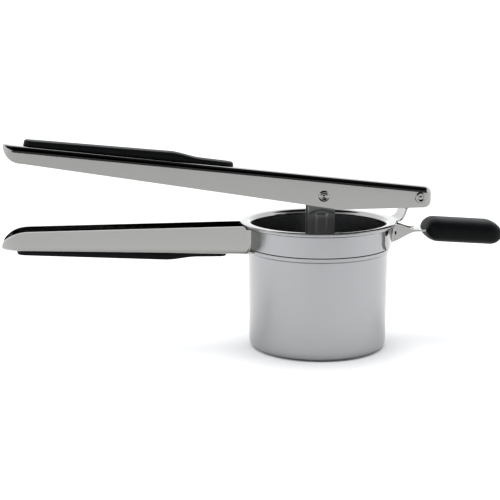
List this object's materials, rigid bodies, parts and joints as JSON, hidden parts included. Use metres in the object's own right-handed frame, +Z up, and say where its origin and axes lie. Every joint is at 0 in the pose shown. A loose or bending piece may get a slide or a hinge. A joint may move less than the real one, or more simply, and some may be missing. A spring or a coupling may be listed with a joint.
{
  "type": "potato ricer",
  "caption": "Stainless-steel potato ricer: perforated hopper with a fixed handle and pot rest, and a hinged press lever that drives a hanging plunger.",
  "frame": {"origin": "on the ground under the hopper's axis, at the centre of the hopper's flat base", "axes": "+Z up along the hopper's axis, the handles reach towards -X and the pot rest towards +X, the lever's hinge pin runs along Y"},
  "size_m": [0.2864, 0.0894, 0.1222],
  "materials": {
    "brushed_sheet": "satin brushed stainless steel",
    "polished_sheet": "polished stainless steel",
    "rivet_steel": "polished stainless steel rivets",
    "inner_steel": "plain turned stainless steel",
    "grip_rubber": "satin black soft rubber",
    "grip_core_plastic": "moulded black plastic"
  },
  "bodies": {
    "hopper_body": {"hopper": "brushed_sheet", "collar": "brushed_sheet", "rim_plate": "polished_sheet", "hinge_bush": "inner_steel", "lower_handle": "polished_sheet", "lower_grip": "grip_rubber", "lower_grip_core": "grip_core_plastic", "lower_grip_washers": "inner_steel", "pot_rest_bracket": "polished_sheet", "pot_rest_knob": "grip_rubber", "pot_rest_core": "grip_core_plastic", "pot_rest_pin": "inner_steel"},
    "lever_body": {"press_lever": "polished_sheet", "upper_grip": "grip_rubber", "upper_grip_core": "grip_core_plastic", "upper_grip_washers": "inner_steel", "hinge_rivet": "rivet_steel", "hinge_rivet_socket": "rivet_steel", "hinge_washers": "inner_steel", "plunger_rivet": "rivet_steel", "plunger_rivet_socket": "rivet_steel", "plunger_spacers": "inner_steel"},
    "plunger_body": {"plunger_fork": "polished_sheet", "plunger_bush": "inner_steel", "plunger_disc": "polished_sheet", "plunger_disc_rivets": "rivet_steel"}
  },
  "joints": [
    {"name": "lever_hinge", "type": "hinge", "parent": "hopper_body", "child": "lever_body", "pos_m": [0.0571, 0, 0.0865], "axis": [0, 1, 0], "range_deg": [0, 40]},
    {"name": "plunger_swing", "type": "hinge", "parent": "lever_body", "child": "plunger_body", "pos_m": [0.001, 0, 0.0886], "axis": [0, 1, 0], "range_deg": [-32, 0]}
  ],
  "couplings": [
    {"joint": "plunger_swing", "follows": "lever_hinge", "ratio": -0.77}
  ]
}
